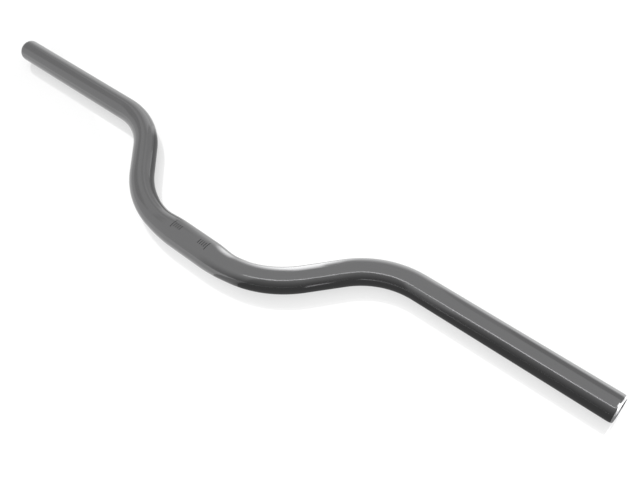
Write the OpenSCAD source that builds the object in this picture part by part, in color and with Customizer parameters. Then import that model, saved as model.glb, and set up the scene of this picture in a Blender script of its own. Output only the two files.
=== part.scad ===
// Riser handlebar: one drawn and bent aluminium tube, with a swaged centre for the stem,
// two lower and two upper bends, and straight ends for the grips.
// It lies on its side as it comes to rest. X runs along the clamp axis, Y points the way the
// bar rises, and Z is up from the surface. The origin is the centre of the clamp zone.

/* [Shape] */
// Overall width from tip to tip, in mm
bar_w = 680; // [600:1:800]
// Rise of the grip axis over the clamp axis
rise = 76; // [60:1:100]
// Angle of the rising legs from the clamp axis, in degrees
leg_angle = 46.5; // [35:0.5:52]
// Centre-line radius of the two lower bends
lower_bend_r = 93; // [60:1:110]
// Centre-line radius of the two upper bends
upper_bend_r = 77; // [50:1:90]

/* [Clamp zone] */
// Diameter where the stem clamps the bar
clamp_d = 25.4; // [24:0.1:31.8]
// Length of the parallel zone that the stem holds
clamp_len = 42; // [30:1:50]
// Length of the swaged taper on each side of the clamp zone
taper_len = 10; // [6:0.5:20]
// Wall of the tube in the clamp zone
clamp_wall = 2.6; // [1.8:0.1:4]

/* [Grips] */
// Diameter of the tube outside the clamp zone
grip_d = 22.2; // [20:0.1:23.8]
// Wall of the tube outside the clamp zone
grip_wall = 2.2; // [1.9:0.1:4]

/* [Tips] */
// Radius that the outer edge of each tip is turned to
tip_round = 1.2; // [0.4:0.1:1.4]
// Chamfer at the mouth of the tube
mouth_chamfer = 0.4; // [0.2:0.1:0.6]

/* [Hidden] */
$fn = 96;

// The bent legs are this much wider in radius than the grips, and the small end of the taper
// is as much wider than the legs
shoulder = 0.1;
// How far a stretch runs on inside the wider one before it
run_in = 0.5;
// Run of a cutting tool past the face that it cuts
cut_over = 1;

// Outer and bore radii of the clamp zone, the taper's small end, the bent legs and the grips
clamp_r = clamp_d / 2;
grip_r = grip_d / 2;
leg_r = grip_r + shoulder;
taper_r = leg_r + shoulder;
clamp_bore_r = clamp_r - clamp_wall;
grip_bore_r = grip_r - grip_wall;
leg_bore_r = leg_r - grip_wall;
taper_bore_r = taper_r - grip_wall;

// Half of the straight centre, up to where the lower bend starts
centre_half = clamp_len / 2 + taper_len;
// Straight length of a leg between its two bends
leg_len = (rise - (lower_bend_r + upper_bend_r) * (1 - cos(leg_angle))) / sin(leg_angle);
// Straight length of a grip, from the end of the upper bend to the tip
grip_len = bar_w / 2 - centre_half - leg_len * cos(leg_angle)
           - (lower_bend_r + upper_bend_r) * sin(leg_angle);
// Angle by which the lower bend runs on inside the taper
run_in_angle = run_in / lower_bend_r * 180 / PI;
// Tilt that lets the wider clamp zone and both grips touch the surface together
lie_tilt = asin((clamp_r - grip_r) / rise);

// A straight rod along +X
module rod(r, len) {
    rotate([0, 90, 0]) cylinder(r = r, h = len);
}

// A rod along +X that bends through an angle towards +Y
module bend(r, bend_r, angle) {
    translate([0, bend_r, 0]) rotate([0, 0, -90])
        rotate_extrude(angle = angle) translate([bend_r, 0]) circle(r = r);
}

// Places its children where a leg starts, with +X along the leg
module at_leg() {
    translate([centre_half + lower_bend_r * sin(leg_angle),
               lower_bend_r * (1 - cos(leg_angle)), 0])
        rotate([0, 0, leg_angle]) children();
}

// Places its children where a grip starts, with +X towards the tip
module at_grip() {
    translate([bar_w / 2 - grip_len, rise, 0]) children();
}

// The clamp zone and its two swaged tapers as a solid rod
module centre_rod(middle_r, end_r) {
    translate([-clamp_len / 2, 0, 0]) rod(middle_r, clamp_len);
    both_sides() translate([clamp_len / 2, 0, 0]) rotate([0, 90, 0])
        cylinder(r1 = middle_r, r2 = end_r, h = taper_len);
}

// A leg with the bend at its foot, which runs back into the taper, and the bend at its top
module leg_rod(r) {
    mirror([1, 0, 0]) bend(r, lower_bend_r, leg_angle + run_in_angle);
    rod(r, leg_len);
    translate([leg_len, 0, 0]) mirror([0, 1, 0]) bend(r, upper_bend_r, leg_angle);
}

// A grip's straight length, with the outer edge of the tip turned round
module grip_rod() {
    translate([-run_in, 0, 0]) rod(grip_r, run_in + grip_len - tip_round);
    translate([grip_len - tip_round, 0, 0]) rotate([0, 90, 0]) rotate_extrude() {
        square([grip_r - tip_round, tip_round]);
        intersection() {
            translate([grip_r - tip_round, 0]) circle(r = tip_round);
            square([grip_r, tip_round]);
        }
    }
}

// The bore of a grip, run out past the tip, with the chamfer at its mouth
module grip_bore() {
    translate([-run_in, 0, 0]) rod(grip_bore_r, run_in + grip_len + cut_over);
    translate([grip_len - mouth_chamfer, 0, 0]) rotate([0, 90, 0])
        cylinder(r1 = grip_bore_r, r2 = grip_bore_r + mouth_chamfer + cut_over,
                 h = mouth_chamfer + cut_over);
}

// What is drawn on the +X side, and its mirror image
module both_sides() {
    children();
    mirror([1, 0, 0]) children();
}

// The outside of the tube
module outer_form() {
    centre_rod(clamp_r, taper_r);
    both_sides() {
        at_leg() leg_rod(leg_r);
        at_grip() grip_rod();
    }
}

// The bore, open at both tips
module bore_form() {
    centre_rod(clamp_bore_r, taper_bore_r);
    both_sides() {
        at_leg() leg_rod(leg_bore_r);
        at_grip() grip_bore();
    }
}

module handlebar() {
    color([0.34, 0.34, 0.35]) rotate([-lie_tilt, 0, 0]) difference() {
        outer_form();
        bore_form();
    }
}

handlebar();
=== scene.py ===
import math

import bpy
import numpy as np
from mathutils import Matrix, Vector


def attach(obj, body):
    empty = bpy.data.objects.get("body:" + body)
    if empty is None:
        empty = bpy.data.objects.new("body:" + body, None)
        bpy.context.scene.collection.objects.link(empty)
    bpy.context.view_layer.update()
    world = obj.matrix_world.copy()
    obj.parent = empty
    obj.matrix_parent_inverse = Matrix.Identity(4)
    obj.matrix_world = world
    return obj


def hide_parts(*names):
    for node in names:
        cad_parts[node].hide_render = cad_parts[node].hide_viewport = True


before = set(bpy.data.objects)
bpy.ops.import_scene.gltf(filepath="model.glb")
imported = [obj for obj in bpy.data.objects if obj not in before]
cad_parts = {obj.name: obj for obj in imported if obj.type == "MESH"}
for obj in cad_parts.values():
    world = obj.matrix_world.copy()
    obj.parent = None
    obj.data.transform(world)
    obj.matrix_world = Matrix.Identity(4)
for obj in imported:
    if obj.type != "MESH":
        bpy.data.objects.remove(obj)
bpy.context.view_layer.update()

# The bar, in metres, with the same driving sizes as its solid.
BAR_WIDTH = 0.680
RISE = 0.076
LEG_ANGLE = math.radians(46.5)
LOWER_BEND_R = 0.093
UPPER_BEND_R = 0.077
# Half of the straight centre: half of the clamp zone and its taper.
CENTRE_HALF = 0.031
CLAMP_R = 0.0127
GRIP_R = 0.0111
CLAMP_WALL = 0.0026
GRIP_WALL = 0.0022
MOUTH_CHAMFER = 0.0004
# The rounded edge of a tip: how far it runs along the tube, and what it takes off the radius.
TIP_RUN = 0.0036
TIP_ROUND = 0.0012
# Share of that run up to which the anodised colour reaches.
TIP_SKIN = 0.72
# A face further below the outer radius than this belongs to the bore.
BORE_DEPTH = 0.0019
# The swage narrows the tube smoothly between these two distances from the middle.
SWAGE_START = 0.019
SWAGE_END = 0.047
# The bar lies on its side, tilted so that its clamp zone and both grips touch the floor.
FLOOR_Z = -CLAMP_R
LIE_TILT = math.asin((CLAMP_R - GRIP_R) / RISE)

# Mesh density: ring spacing along the tube, sides of a ring, steps of the rounded edge.
RING_STEP = 0.0018
RING_SIDES = 112
ROUND_STEPS = 16

# Material numbers of the tube's faces.
SKIN, TURNED_EDGE, BORE = 0, 1, 2

# Plain ticks at both ends of the clamp zone: between these distances from the middle, a step
# apart; their width along the bar; place and half length as shares of the turn, and how much
# longer the outermost one is.
TICK_FROM = 0.010
TICK_TO = 0.021
TICK_STEP = 0.00225
TICK_WIDTH = 0.0006
TICK_TURN = 0.49
TICK_HALF = 0.030
TICK_LONGER = 0.022
TICK_INK = (0.02, 0.02, 0.02)
TICK_ROUGHER = 0.3

# Each metal's dark and light tone, how its noise is stretched over the UVs, the noise's scale
# and detail, and the roughness at both ends of NOISE_SPAN.
NOISE_SPAN = (0.3, 0.7)
ANODISED_TONES = (0.158, 0.158, 0.160), (0.182, 0.182, 0.184)
ANODISED_STRETCH = (6.0, 40.0, 1.0)
ANODISED_NOISE = (6.0, 4.0)
ANODISED_ROUGH = (0.12, 0.15)
# The anodised skin's roughness follows a fine grain of its own.
GRAIN_NOISE = (900.0, 2.0)
EDGE_TONES = (0.82, 0.82, 0.83), (0.91, 0.91, 0.92)
EDGE_STRETCH = (6000.0, 3.0, 1.0)
EDGE_NOISE = (1.0, 2.0)
EDGE_ROUGH = (0.2, 0.3)
BORE_TONES = (0.10, 0.10, 0.105), (0.16, 0.16, 0.165)
BORE_STRETCH = (8.0, 60.0, 1.0)
BORE_NOISE = (4.0, 3.0)
BORE_ROUGH = (0.45, 0.6)

NODE = "handlebar"


# The shape of the tube. Its right half is laid out by the distance along its centre line.

def half_stations():
    """Distances of the rings along the right half, and the lengths of its five stretches.

    The stretches are the centre, the lower bend, the leg, the upper bend and the grip up to
    the rounded edge of its tip."""
    lower = LOWER_BEND_R * LEG_ANGLE
    upper = UPPER_BEND_R * LEG_ANGLE
    turn = LOWER_BEND_R + UPPER_BEND_R
    leg = (RISE - turn * (1 - math.cos(LEG_ANGLE))) / math.sin(LEG_ANGLE)
    grip = (BAR_WIDTH / 2 - CENTRE_HALF - leg * math.cos(LEG_ANGLE)
            - turn * math.sin(LEG_ANGLE))
    lengths = [CENTRE_HALF, lower, leg, upper, grip - TIP_RUN]
    marks, at = [0.0], 0.0
    for length in lengths:
        count = max(2, round(length / RING_STEP))
        marks += [at + length * k / count for k in range(1, count + 1)]
        at += length
    return marks, lengths


def half_point(s, lengths):
    """Point and direction in the plane of the bar at distance s along its right half."""
    x, y, angle = 0.0, 0.0, 0.0
    turns = [0.0, 1 / LOWER_BEND_R, 0.0, -1 / UPPER_BEND_R, 0.0]
    left = s
    for i, (length, turn) in enumerate(zip(lengths, turns)):
        # The last stretch runs on, for the rings of the rounded edge.
        run = left if i == len(lengths) - 1 else min(left, length)
        if turn:
            end = angle + run * turn
            x += (math.sin(end) - math.sin(angle)) / turn
            y -= (math.cos(end) - math.cos(angle)) / turn
            angle = end
        else:
            x += run * math.cos(angle)
            y += run * math.sin(angle)
        left -= run
        if left <= 0:
            break
    return (x, y), angle


def narrowing(s):
    """How far the tube has narrowed at distance s from its middle, smoothly from 0 to 1."""
    t = min(1.0, max(0.0, (abs(s) - SWAGE_START) / (SWAGE_END - SWAGE_START)))
    return t * t * (3 - 2 * t)


def outer_radius(s):
    """Outer radius of the tube at distance s from its middle."""
    return CLAMP_R + (GRIP_R - CLAMP_R) * narrowing(s)


def bore_radius(s):
    """Radius of the bore at distance s from the middle."""
    wall = CLAMP_WALL + (GRIP_WALL - CLAMP_WALL) * narrowing(s)
    return outer_radius(s) - wall


def outline_rings():
    """(distance, radius) for every ring, round the whole closed skin of the tube.

    It runs along the outside from the left tip to the right one, over the rounded edge and
    the face into the bore, back along the bore to the left, and out over the left tip. The
    lengths of the stretches come with it."""
    marks, lengths = half_stations()
    end = sum(lengths)
    both = [-m for m in reversed(marks[1:])] + marks
    edge = []
    for k in range(1, ROUND_STEPS + 1):
        a = math.pi / 2 * k / ROUND_STEPS
        edge.append((end + TIP_RUN * math.sin(a), GRIP_R - TIP_ROUND + TIP_ROUND * math.cos(a)))
    tip = end + TIP_RUN
    mouth_r = GRIP_R - GRIP_WALL
    edge += [(tip, mouth_r + MOUTH_CHAMFER), (tip - MOUTH_CHAMFER, mouth_r)]
    outside = [(s, outer_radius(s)) for s in both]
    inside = [(s, bore_radius(s)) for s in reversed(both)]
    return outside + edge + inside + [(-s, r) for s, r in reversed(edge)], lengths


def part_between(ring, other, end):
    """Material number of the faces between two rings; the rounded edges start at end."""
    s, radius = (ring[0] + other[0]) / 2, (ring[1] + other[1]) / 2
    if radius < outer_radius(s) - BORE_DEPTH:
        return BORE
    return TURNED_EDGE if abs(s) > end + TIP_SKIN * TIP_RUN else SKIN


def tilt(p):
    """A point of the bar's own plane, laid on the floor with the clamp zone and grips down."""
    c, s = math.cos(LIE_TILT), math.sin(LIE_TILT)
    x, y, z = p
    return (x, y * c + z * s, -y * s + z * c)


def ring_points(s, radius, lengths):
    """The points of the ring of this radius at distance s from the middle."""
    (x, y), angle = half_point(abs(s), lengths)
    if s < 0:
        x, angle = -x, -angle
    nx, ny = -math.sin(angle), math.cos(angle)
    points = []
    for k in range(RING_SIDES):
        a = 2 * math.pi * k / RING_SIDES - math.pi / 2
        out, up = radius * math.cos(a), radius * math.sin(a)
        points.append(tilt((x + nx * out, y + ny * out, up)))
    return points


def ring_faces(rings, end):
    """The faces from each ring to the next, their material numbers and their UVs.

    A UV is the distance from the middle and the share of the turn."""
    faces, parts, uvs = [], [], []
    for i, ring in enumerate(rings):
        j = (i + 1) % len(rings)
        other = rings[j]
        part = part_between(ring, other, end)
        for k in range(RING_SIDES):
            m = (k + 1) % RING_SIDES
            faces.append((i * RING_SIDES + k, i * RING_SIDES + m,
                          j * RING_SIDES + m, j * RING_SIDES + k))
            parts.append(part)
            here, there = k / RING_SIDES, (k + 1) / RING_SIDES
            uvs += [(ring[0], here), (ring[0], there), (other[0], there), (other[0], here)]
    return faces, parts, uvs


def add_object(name, data):
    """A new object in the scene around this data."""
    made = bpy.data.objects.new(name, data)
    bpy.context.scene.collection.objects.link(made)
    return made


def build_tube():
    """The whole tube as one closed mesh of rings."""
    rings, lengths = outline_rings()
    points = [p for s, radius in rings for p in ring_points(s, radius, lengths)]
    faces, parts, uvs = ring_faces(rings, sum(lengths))
    mesh = bpy.data.meshes.new("tube")
    mesh.from_pydata(points, [], faces)
    layer = mesh.uv_layers.new(name="along")
    layer.data.foreach_set("uv", np.array(uvs, np.float32).ravel())
    mesh.polygons.foreach_set("use_smooth", [True] * len(faces))
    mesh.polygons.foreach_set("material_index", parts)
    mesh.update()
    return add_object("tube", mesh)


# Small steps of node trees. Each returns the socket or sockets of its result.

def math_node(tree, kind, a, b=0.0):
    """A Math node; a and b are sockets or numbers."""
    node = tree.nodes.new("ShaderNodeMath")
    node.operation = kind
    for socket, value in zip(node.inputs, (a, b)):
        if isinstance(value, (int, float)):
            socket.default_value = value
        else:
            tree.links.new(value, socket)
    return node.outputs[0]


def noise(tree, vector, scale, detail):
    """Noise from 0 to 1."""
    node = tree.nodes.new("ShaderNodeTexNoise")
    node.inputs["Scale"].default_value = scale
    node.inputs["Detail"].default_value = detail
    tree.links.new(vector, node.inputs["Vector"])
    return node.outputs["Fac"]


def ramp(tree, value, low, high, start=0.0, end=1.0):
    """value from low..high mapped to start..end and held there outside it."""
    node = tree.nodes.new("ShaderNodeMapRange")
    for name, number in (("From Min", low), ("From Max", high), ("To Min", start), ("To Max", end)):
        node.inputs[name].default_value = number
    tree.links.new(value, node.inputs["Value"])
    return node.outputs["Result"]


def stretched(tree, source, scale):
    """Coordinates times scale."""
    node = tree.nodes.new("ShaderNodeMapping")
    node.inputs["Scale"].default_value = scale
    tree.links.new(source, node.inputs["Vector"])
    return node.outputs["Vector"]


def two_tones(tree, factor, first, second):
    """first where factor is 0 and second where it is 1; first may be a colour socket."""
    node = tree.nodes.new("ShaderNodeMix")
    node.data_type = "RGBA"
    if isinstance(first, tuple):
        node.inputs["A"].default_value = (*first, 1)
    else:
        tree.links.new(first, node.inputs["A"])
    node.inputs["B"].default_value = (*second, 1)
    tree.links.new(factor, node.inputs["Factor"])
    return node.outputs["Result"]


def split_axes(tree, vector):
    """The X, Y and Z sockets of a vector."""
    node = tree.nodes.new("ShaderNodeSeparateXYZ")
    tree.links.new(vector, node.inputs[0])
    return node.outputs


def mixed_shaders(tree, factor, first, second):
    """The first shader where factor is 0, and the second where it is 1; all are sockets."""
    node = tree.nodes.new("ShaderNodeMixShader")
    for socket, value in zip(node.inputs, (factor, first, second)):
        tree.links.new(value, socket)
    return node.outputs[0]


def seen_direct(tree):
    """1 for camera, glossy and transmission rays, and 0 for all others."""
    rays = tree.nodes.new("ShaderNodeLightPath").outputs
    either = math_node(tree, "MAXIMUM", rays["Is Camera Ray"], rays["Is Glossy Ray"])
    return math_node(tree, "MAXIMUM", either, rays["Is Transmission Ray"])


# The materials of the tube.

def metal(name):
    """A new metal: its material, node tree, shader and texture coordinates."""
    material = bpy.data.materials.new(name)
    material.use_nodes = True
    tree = material.node_tree
    shader = tree.nodes["Principled BSDF"]
    shader.inputs["Metallic"].default_value = 1.0
    return material, tree, shader, tree.nodes.new("ShaderNodeTexCoord").outputs


def noisy_metal(name, tones, stretch, texture, rough):
    """Metal whose tone and roughness both follow one stretched noise."""
    material, tree, shader, coords = metal(name)
    uneven = noise(tree, stretched(tree, coords["UV"], stretch), *texture)
    tree.links.new(two_tones(tree, uneven, *tones), shader.inputs["Base Color"])
    tree.links.new(ramp(tree, uneven, *NOISE_SPAN, *rough), shader.inputs["Roughness"])
    return material


def turned_metal():
    """Turned bare aluminium at the tips."""
    return noisy_metal("bare_metal", EDGE_TONES, EDGE_STRETCH, EDGE_NOISE, EDGE_ROUGH)


def bore_metal():
    """The dull inside of the drawn tube."""
    return noisy_metal("bore_metal", BORE_TONES, BORE_STRETCH, BORE_NOISE, BORE_ROUGH)


def centring_ticks(tree, uv):
    """1 on two rows of plain short ticks that help to centre the bar in its stem."""
    axes = split_axes(tree, uv)
    along = math_node(tree, "ABSOLUTE", axes["X"])
    steps = math_node(tree, "DIVIDE", along, TICK_STEP)
    nearest = math_node(tree, "ROUND", steps)
    beside = math_node(tree, "ABSOLUTE", math_node(tree, "SUBTRACT", steps, nearest))
    around = math_node(tree, "ABSOLUTE", math_node(tree, "SUBTRACT", axes["Y"], TICK_TURN))
    outermost = math_node(tree, "GREATER_THAN", along, TICK_TO - TICK_STEP)
    longer = math_node(tree, "MULTIPLY", outermost, TICK_LONGER)
    reach = math_node(tree, "ADD", longer, TICK_HALF)
    mask = math_node(tree, "LESS_THAN", beside, TICK_WIDTH / TICK_STEP / 2)
    for more in (math_node(tree, "LESS_THAN", around, reach),
                 math_node(tree, "GREATER_THAN", along, TICK_FROM),
                 math_node(tree, "LESS_THAN", along, TICK_TO)):
        mask = math_node(tree, "MULTIPLY", mask, more)
    return mask


def anodised():
    """Dark grey anodised aluminium, smooth and half gloss, with faint lengthwise draw lines."""
    material, tree, shader, coords = metal("anodised")
    drawn = noise(tree, stretched(tree, coords["UV"], ANODISED_STRETCH), *ANODISED_NOISE)
    tone = two_tones(tree, drawn, *ANODISED_TONES)
    ticks = centring_ticks(tree, coords["UV"])
    tree.links.new(two_tones(tree, ticks, tone, TICK_INK), shader.inputs["Base Color"])
    grain = noise(tree, coords["Object"], *GRAIN_NOISE)
    rough = ramp(tree, grain, *NOISE_SPAN, *ANODISED_ROUGH)
    rougher = math_node(tree, "MULTIPLY", ticks, TICK_ROUGHER)
    tree.links.new(math_node(tree, "ADD", rough, rougher), shader.inputs["Roughness"])
    return material


# The floor: its own light, its diffuse grey, and the extent, step and margins of its grid.
FLOOR_GLOW = 0.86
FLOOR_GREY = 0.28
FLOOR_X = (-0.46, 0.46)
FLOOR_Y = (-0.12, 0.20)
FLOOR_STEP = 0.005
FLOOR_MARGINS = (0.1, 0.3, 1.0, 4.0, 15.0)
# Its mirror: the share where it is full, right and left, and the X between which that changes;
# how far from the bar it is full and gone; its roughness; and every how many rings the bar is
# looked at for that distance.
MIRROR_RIGHT = 0.22
MIRROR_LEFT = 0.31
MIRROR_TURN = (-0.15, 0.0)
MIRROR_FULL = 0.035
MIRROR_NONE = 0.085
MIRROR_ROUGH = 0.03
MIRROR_RINGS = 3
# The world's light on what isn't seen directly.
WORLD_DIFFUSE = 0.8
# The lamp: its place, what it points at, its width and length, and its radiance.
LAMP_AT = (0.0, 0.10, 1.3)
LAMP_AIM = (0.0, 0.05, 0.0)
LAMP_SIZE = (1.8, 1.4)
LAMP_RADIANCE = 1.15

# The cards. Brightnesses are as card() takes them: low, high, the heights between which low
# turns to high, and how low changes along X.
# Dark front card with a bright strip over it. Its top edge as (x, z), from the right.
FRONT_Y = -0.40
FRONT_TOP = [(0.95, 1.10), (0.65, 0.94), (0.55, 0.76), (0.39, 0.74), (0.21, 0.60), (0.06, 0.57)]
FRONT_LIGHT = (0.22, 0.6, (0.0, 0.5))
STRIP_HEIGHT = 0.07
STRIP_LIGHT = 4.5
# How both fade out to the left: the x where each ends, and the heights there.
FRONT_END = (-0.30, 0.40)
FRONT_END_LIGHT = (0.42, 0.95, (0.08, 0.40), (0.0, -0.26, 0.97))
STRIP_END = (-0.08, 0.50, 0.55)
# Flat sheets lie this far over the floor. Each has its outline in plan, with the brightness;
# where the outline goes on beside the bar, the two distances along it come first.
SHEET_LIFT = 0.0003
STREAK_LIFT = 0.0007
BESIDE_STEPS = 8
DARK_BESIDE = (0.05, 0.20)
DARK_PLAN = [(0.055, -0.30), (0.45, -0.30), (0.45, 0.075)]
DARK_LIGHT = 0.22
STREAK_PLAN = [(0.1335, -0.0068), (0.1586, -0.0311), (0.222, -0.083), (0.176, -0.013)]
STREAK_LIGHT = 1.10
DUSK_PLAN = [(0.015, -0.30), (0.055, -0.30), (0.055, 0.0), (0.03, -0.005)]
DUSK_LIGHT = 0.6
TIP_PLAN = [(0.3405, 0.070), (0.37, 0.070), (0.37, 0.12), (0.3405, 0.12)]
TIP_LIGHT = 0.5
PALE_BESIDE = (0.06, 0.20)
PALE_PLAN = [(0.45, 0.077), (0.42, 0.225), (0.10, 0.206), (-0.038, 0.105)]
PALE_LIGHT = 1.9
LEG_BESIDE = (0.075, 0.155)
LEG_BESIDE_STEPS = 6
LEG_PLAN = [(-0.06, 0.17), (-0.16, 0.17)]
LEG_FADE = (-0.126, -0.146, 1.4)
# The sheet lies below these heights, so its brightness only changes along X.
LEG_LIGHT = (0.5, 1.0, (0.0, 0.05), LEG_FADE)
# Two low walls behind the left leg, one over the other: x at both ends, y, and the heights.
LEG_WALL_X = (-0.16, -0.10)
LEG_WALL_Y = 0.17
LEG_WALL_TOP = 0.03
LEG_WALL_LIGHT = (0.7, 1.0, (0.005, 0.03), LEG_FADE)
LEG_HAZE_X = (-0.165, -0.10)
LEG_HAZE_TOP = 0.10
LEG_HAZE_LIGHT = 0.92
# Light fence close behind the right half of the bar. At each plan point: its brightness at the
# foot. For each stretch: the brightness at the top, and the heights between which it changes.
FENCE = [(-0.070, 0.075, 1.1), (-0.034, 0.109, 1.8), (-0.020, 0.121, 4.9), (0.002, 0.140, 5.0),
         (0.018, 0.153, 3.0), (0.035, 0.165, 2.2), (0.10, 0.206, 2.2), (0.145, 0.217, 2.4),
         (0.216, 0.222, 2.5), (0.42, 0.225, 2.6)]
FENCE_RISE = [(1.0, 0.0, 0.07), (1.0, 0.03, 0.13), (1.0, 0.06, 0.20), (1.0, 0.01, 0.11),
              (1.0, 0.0, 0.085), (1.0, 0.0, 0.10), (1.0, 0.0, 0.09), (0.85, 0.0, 0.07),
              (0.72, 0.0, 0.06)]
FENCE_TOP = 0.21
# The far side of the room, and a grey wall at its left: x or y at both ends, and the heights.
BACK_Y = 0.80
BACK_X = (-2.4, -0.20)
BACK_TOP = 0.60
BACK_LIGHT = (1.6, 1.0, (0.0, BACK_TOP))
BACK_GREY_X = (-2.4, -0.45)
BACK_GREY_TOP = 0.95
BACK_GREY_LIGHT = 0.88
LEFT_X = -1.2
LEFT_Y = (-0.30, 0.45)
LEFT_HEIGHTS = (0.50, 1.05)
LEFT_LIGHT = 0.80
# Bright card high on the right.
KEY_CORNERS = [(0.55, -0.10, 0.90), (0.55, 0.30, 0.90), (0.95, 0.30, 0.40),
               (0.95, -0.22, 0.40), (0.75, -0.26, 0.72)]
KEY_LIGHT = 6.5

# The camera: its lens and sensor in mm, what it clips, its place and its axes.
LENS = 42.554
SENSOR_WIDTH = 36.0
CLIP = (0.01, 100.0)
CAMERA_AT = (0.3677302, -0.1725957, 0.4926159)
CAMERA_RIGHT = (0.7547399, 0.6444059, -0.1229176)
CAMERA_UP = (-0.4679789, 0.6601707, 0.5875121)
CAMERA_BACK = (0.4597428, -0.3858960, 0.7998255)


def empty_material(name):
    """A new material with an empty node tree, the tree, and its output's surface socket."""
    material = bpy.data.materials.new(name)
    material.use_nodes = True
    tree = material.node_tree
    tree.nodes.clear()
    return material, tree, tree.nodes.new("ShaderNodeOutputMaterial").inputs["Surface"]


def floor_lines(low, high):
    """Grid lines of the floor: close together from low to high, then ever further apart."""
    fine = np.arange(low, high + FLOOR_STEP / 2, FLOOR_STEP)
    wide = np.array(FLOOR_MARGINS)
    return np.concatenate([low - wide[::-1], fine, high + wide])


def mirror_share(points):
    """How much the floor mirrors at each of these points, by how close the bar is."""
    marks, lengths = half_stations()
    line = np.array([half_point(s, lengths)[0] for s in marks[::MIRROR_RINGS]])
    line = np.concatenate([line, line * (-1, 1)])
    apart = np.linalg.norm(points[:, None, :2] - line[None], axis=2).min(1)
    share = np.clip((MIRROR_NONE - apart) / (MIRROR_NONE - MIRROR_FULL), 0, 1)
    share = share * share * (3 - 2 * share)
    return share * np.interp(points[:, 0], MIRROR_TURN, (MIRROR_LEFT, MIRROR_RIGHT))


def floor_material():
    """White floor that takes soft shadows and mirrors as its mirror attribute says."""
    material, tree, surface = empty_material("floor")
    diffuse = tree.nodes.new("ShaderNodeBsdfDiffuse")
    diffuse.inputs["Color"].default_value = (FLOOR_GREY, FLOOR_GREY, FLOOR_GREY, 1)
    glow = tree.nodes.new("ShaderNodeEmission")
    tree.links.new(math_node(tree, "MULTIPLY", seen_direct(tree), FLOOR_GLOW),
                   glow.inputs["Strength"])
    lit = tree.nodes.new("ShaderNodeAddShader")
    tree.links.new(diffuse.outputs[0], lit.inputs[0])
    tree.links.new(glow.outputs[0], lit.inputs[1])
    gloss = tree.nodes.new("ShaderNodeBsdfGlossy")
    gloss.inputs["Roughness"].default_value = MIRROR_ROUGH
    mirror = tree.nodes.new("ShaderNodeAttribute")
    mirror.attribute_name = "mirror"
    tree.links.new(mixed_shaders(tree, mirror.outputs["Fac"], lit.outputs[0], gloss.outputs[0]),
                   surface)
    return material


def build_floor():
    """The floor, as a grid that is fine around the bar."""
    xs, ys = floor_lines(*FLOOR_X), floor_lines(*FLOOR_Y)
    gx, gy = np.meshgrid(xs, ys)
    points = np.stack([gx.ravel(), gy.ravel(), np.full(gx.size, FLOOR_Z)], 1)
    w = len(xs)
    faces = [(j * w + i, j * w + i + 1, (j + 1) * w + i + 1, (j + 1) * w + i)
             for j in range(len(ys) - 1) for i in range(w - 1)]
    mesh = bpy.data.meshes.new("floor")
    mesh.from_pydata(points.tolist(), [], faces)
    layer = mesh.attributes.new("mirror", "FLOAT", "POINT")
    layer.data.foreach_set("value", mirror_share(points).astype(np.float32))
    mesh.materials.append(floor_material())
    floor = add_object("floor", mesh)


def build_world():
    """White where it is seen directly or in reflections, and a little less as a light."""
    world = bpy.data.worlds.new("studio")
    bpy.context.scene.world = world
    world.use_nodes = True
    tree = world.node_tree
    background = tree.nodes["Background"]
    background.inputs["Color"].default_value = (1, 1, 1, 1)
    level = ramp(tree, seen_direct(tree), 0.0, 1.0, WORLD_DIFFUSE, 1.0)
    tree.links.new(level, background.inputs["Strength"])


def build_lamp():
    """One large soft lamp overhead."""
    data = bpy.data.lights.new("top", "AREA")
    data.shape = "RECTANGLE"
    data.size, data.size_y = LAMP_SIZE
    data.energy = LAMP_RADIANCE * math.pi * LAMP_SIZE[0] * LAMP_SIZE[1]
    lamp = add_object("top", data)
    lamp.location = LAMP_AT
    # The world already stands for it in reflections.
    lamp.visible_glossy = False
    lamp.rotation_mode = "QUATERNION"
    lamp.rotation_quaternion = (Vector(LAMP_AIM) - Vector(LAMP_AT)).to_track_quat("-Z", "Y")


def card(name, corners, low, high=None, span=None, across=None):
    """A studio card that only shows in reflections, and from its front alone.

    Its brightness is low, and turns to high over the heights of span. across is
    (x, x, brightness): there low itself changes along X, to this brightness at the second x."""
    mesh = bpy.data.meshes.new(name)
    mesh.from_pydata(corners, [], [tuple(range(len(corners)))])
    made = add_object(name, mesh)
    made.visible_camera = False
    made.visible_diffuse = False
    made.visible_shadow = False
    material, tree, surface = empty_material(name)
    glow = tree.nodes.new("ShaderNodeEmission")
    glow.inputs["Strength"].default_value = low
    if high is not None:
        axes = split_axes(tree, tree.nodes.new("ShaderNodeTexCoord").outputs["Object"])
        foot = low
        if across is not None:
            foot = ramp(tree, axes["X"], across[0], across[1], low, across[2])
        rise = ramp(tree, axes["Z"], *span)
        change = math_node(tree, "MULTIPLY", rise, math_node(tree, "SUBTRACT", high, foot))
        tree.links.new(math_node(tree, "ADD", change, foot), glow.inputs["Strength"])
    clear = tree.nodes.new("ShaderNodeBsdfTransparent")
    back = tree.nodes.new("ShaderNodeNewGeometry").outputs["Backfacing"]
    tree.links.new(mixed_shaders(tree, back, glow.outputs[0], clear.outputs[0]), surface)
    mesh.materials.append(material)


def wall(name, start, end, low_edge, high_edge, *light):
    """An upright card from start to end in plan; each edge is its height at start and at end.

    It faces to the right of the way from start to end."""
    (x0, y0), (x1, y1) = start, end
    card(name, [(x0, y0, low_edge[0]), (x1, y1, low_edge[1]),
                (x1, y1, high_edge[1]), (x0, y0, high_edge[0])], *light)


def level_wall(name, start, end, bottom, top, *light):
    """A wall whose edges are level."""
    wall(name, start, end, (bottom, bottom), (top, top), *light)


def sheet(name, plan, *light, lift=SHEET_LIFT):
    """A flat card just over the floor. It faces up, since plan runs anticlockwise."""
    card(name, [(x, y, FLOOR_Z + lift) for x, y in plan], *light)


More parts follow.
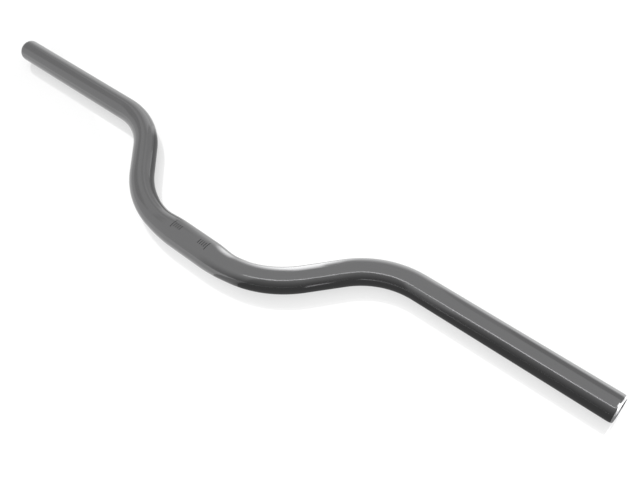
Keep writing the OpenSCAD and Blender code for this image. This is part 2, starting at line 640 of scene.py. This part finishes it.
def beside_bar(first, last, count=BESIDE_STEPS):
    """Points in plan along the right half's centre line, between two distances along it."""
    lengths = half_stations()[1]
    return [half_point(first + (last - first) * k / count, lengths)[0] for k in range(count + 1)]


def build_front():
    """The dark front card, and the strip on it that draws the thin light line on the tube."""
    floor = (FLOOR_Z, FLOOR_Z)
    for i, ((x0, z0), (x1, z1)) in enumerate(zip(FRONT_TOP, FRONT_TOP[1:])):
        ends = (x0, FRONT_Y), (x1, FRONT_Y)
        wall(f"front_{i}", *ends, floor, (z0, z1), *FRONT_LIGHT)
        wall(f"strip_{i}", *ends, (z0, z1), (z0 + STRIP_HEIGHT, z1 + STRIP_HEIGHT), STRIP_LIGHT)
    x, z = FRONT_TOP[-1]
    end_x, end_z = FRONT_END
    wall("front_fade", (x, FRONT_Y), (end_x, FRONT_Y), floor, (z, end_z), *FRONT_END_LIGHT)
    end_x, end_low, end_high = STRIP_END
    wall("strip_fade", (x, FRONT_Y), (end_x, FRONT_Y), (z, end_low),
         (z + STRIP_HEIGHT, end_high), STRIP_LIGHT)


def build_sheets():
    """Sheets over the floor: dark in front of the right half, with a streak for its leg, pale
    behind it, and grey behind the left leg."""
    sheet("floor_dark", DARK_PLAN + beside_bar(*DARK_BESIDE)[::-1], DARK_LIGHT)
    sheet("floor_streak", STREAK_PLAN, STREAK_LIGHT, lift=STREAK_LIFT)
    sheet("floor_dusk", DUSK_PLAN, DUSK_LIGHT)
    sheet("floor_tip", TIP_PLAN, TIP_LIGHT)
    sheet("floor_light", beside_bar(*PALE_BESIDE) + PALE_PLAN, PALE_LIGHT)
    leg = [(-x, y) for x, y in beside_bar(*LEG_BESIDE, LEG_BESIDE_STEPS)]
    sheet("floor_grey", leg[::-1] + LEG_PLAN, *LEG_LIGHT)


def build_back():
    """What stands behind the bar: walls at its left leg, the light fence, and the far side."""
    x0, x1 = LEG_WALL_X
    level_wall("leg_grey", (x0, LEG_WALL_Y), (x1, LEG_WALL_Y), FLOOR_Z, LEG_WALL_TOP,
               *LEG_WALL_LIGHT)
    x0, x1 = LEG_HAZE_X
    level_wall("leg_pale", (x0, LEG_WALL_Y), (x1, LEG_WALL_Y), LEG_WALL_TOP, LEG_HAZE_TOP,
               LEG_HAZE_LIGHT)
    for i, ((x0, y0, first), (x1, y1, last)) in enumerate(zip(FENCE, FENCE[1:])):
        top, z0, z1 = FENCE_RISE[i]
        level_wall(f"fence_{i}", (x0, y0), (x1, y1), FLOOR_Z, FENCE_TOP,
                   first, top, (z0, z1), (x0, x1, last))
    x0, x1 = BACK_X
    level_wall("back_left", (x0, BACK_Y), (x1, BACK_Y), FLOOR_Z, BACK_TOP, *BACK_LIGHT)
    x0, x1 = BACK_GREY_X
    level_wall("back_grey", (x0, BACK_Y), (x1, BACK_Y), BACK_TOP, BACK_GREY_TOP, BACK_GREY_LIGHT)
    y0, y1 = LEFT_Y
    level_wall("left_grey", (LEFT_X, y0), (LEFT_X, y1), *LEFT_HEIGHTS, LEFT_LIGHT)


def build_camera():
    """The camera at the photo's angle."""
    data = bpy.data.cameras.new("camera")
    data.sensor_fit = "HORIZONTAL"
    data.sensor_width = SENSOR_WIDTH
    data.lens = LENS
    data.clip_start, data.clip_end = CLIP
    camera = add_object("camera", data)
    turn = Matrix((CAMERA_RIGHT, CAMERA_UP, CAMERA_BACK)).transposed().to_4x4()
    camera.matrix_world = Matrix.Translation(CAMERA_AT) @ turn
    bpy.context.scene.camera = camera


tube = build_tube()
# In the order of the faces' material numbers.
for material in (anodised(), turned_metal(), bore_metal()):
    tube.data.materials.append(material)
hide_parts(NODE)
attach(tube, "root")

build_floor()
build_world()
build_lamp()
build_front()
build_sheets()
build_back()
card("right_key", KEY_CORNERS, KEY_LIGHT)
build_camera()

bpy.context.scene.view_settings.view_transform = "Standard"
